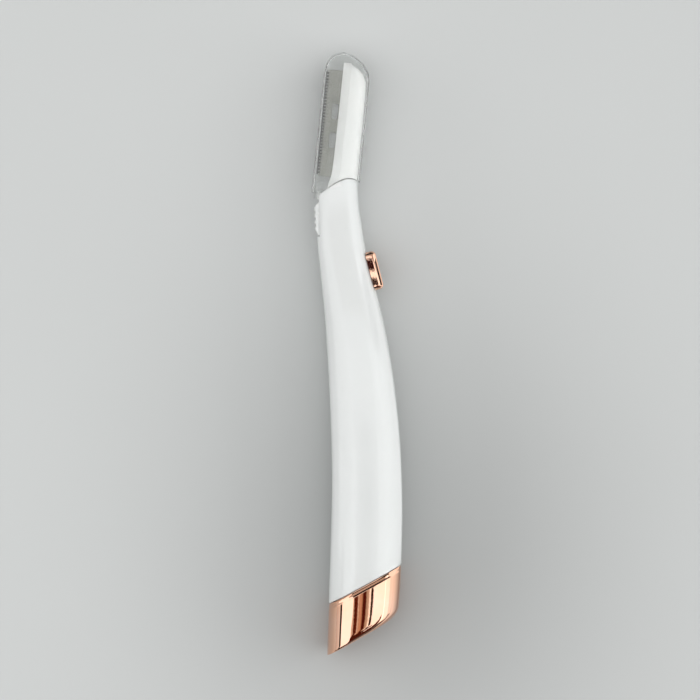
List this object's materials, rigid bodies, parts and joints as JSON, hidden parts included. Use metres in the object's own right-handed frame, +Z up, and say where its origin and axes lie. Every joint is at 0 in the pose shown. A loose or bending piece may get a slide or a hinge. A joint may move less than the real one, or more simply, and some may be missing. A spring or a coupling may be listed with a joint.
{
  "type": "lighted eyebrow razor",
  "caption": "Curved battery-lit eyebrow and face razor with a clear-capped blade head, slide switch, ribbed release button and slanted end cap.",
  "frame": {"origin": "on the flat underside of the handle, where it lies on the table, level with the middle of the grip", "axes": "+Y toward the blade head, +X toward the spine and its switch, +Z up from the table through the handle's thickness"},
  "size_m": [0.0249, 0.1648, 0.0152],
  "materials": {
    "gloss_white": "glossy moulded white",
    "satin_white": "satin moulded white",
    "rose_gold": "rose-gold vacuum plating",
    "clear": "clear moulded plastic",
    "blade_steel": "ground blade steel",
    "spring_steel": "bright nickel plated steel",
    "board": "green solder mask",
    "black": "moulded black",
    "copper": "plain copper alloy",
    "cell_jacket": "printed film over the can, bare",
    "red_wire": "red insulation",
    "black_wire": "black insulation"
  },
  "bodies": {
    "handle": {"left_handle_shell": "gloss_white", "right_handle_shell": "gloss_white", "battery_cell": "cell_jacket", "battery_tube": "satin_white", "top_contact": "spring_steel", "side_strip": "copper", "circuit_board": "board", "board_screw_1": "spring_steel", "board_screw_2": "spring_steel", "boost_chip": "black", "boost_coil": "copper", "smoothing_capacitor": "satin_white", "current_resistor": "black", "switch_case": "spring_steel", "cell_wire_1": "red_wire", "cell_wire_2": "black_wire", "lamp_wire_1": "red_wire", "lamp_wire_2": "black_wire", "lamp": "satin_white", "lamp_lens": "clear", "head_socket": "satin_white", "release_pin": "spring_steel", "release_spring": "spring_steel"},
    "end_cap": {"end_cap_shell": "rose_gold", "end_cap_plug": "satin_white", "cap_contact": "spring_steel", "cap_spring": "spring_steel"},
    "switch": {"switch_button": "rose_gold", "switch_lever": "black"},
    "release": {"release_button": "gloss_white"},
    "head": {"blade_holder": "gloss_white", "razor_blade": "blade_steel", "blade_guard": "spring_steel"},
    "clear_cap": {"protective_cap": "clear"}
  },
  "joints": [
    {"name": "end_cap_pull", "type": "slide", "parent": "handle", "child": "end_cap", "axis": [0, -1, 0], "range_m": [0, 0.025]},
    {"name": "switch_slide", "type": "slide", "parent": "handle", "child": "switch", "axis": [-0.247, 0.969, 0], "range_m": [0, 0.002]},
    {"name": "release_press", "type": "hinge", "parent": "handle", "child": "release", "pos_m": [-0.01174, 0.0581, 0.0076], "axis": [0, 0, 1], "range_deg": [0, 4], "stiffness_Nm_per_rad": 0.02},
    {"name": "head_pull", "type": "slide", "parent": "handle", "child": "head", "axis": [0.0958, 0.9954, 0], "range_m": [0, 0.012]},
    {"name": "clear_cap_pull", "type": "slide", "parent": "head", "child": "clear_cap", "axis": [0.0958, 0.9954, 0], "range_m": [0, 0.045]}
  ]
}
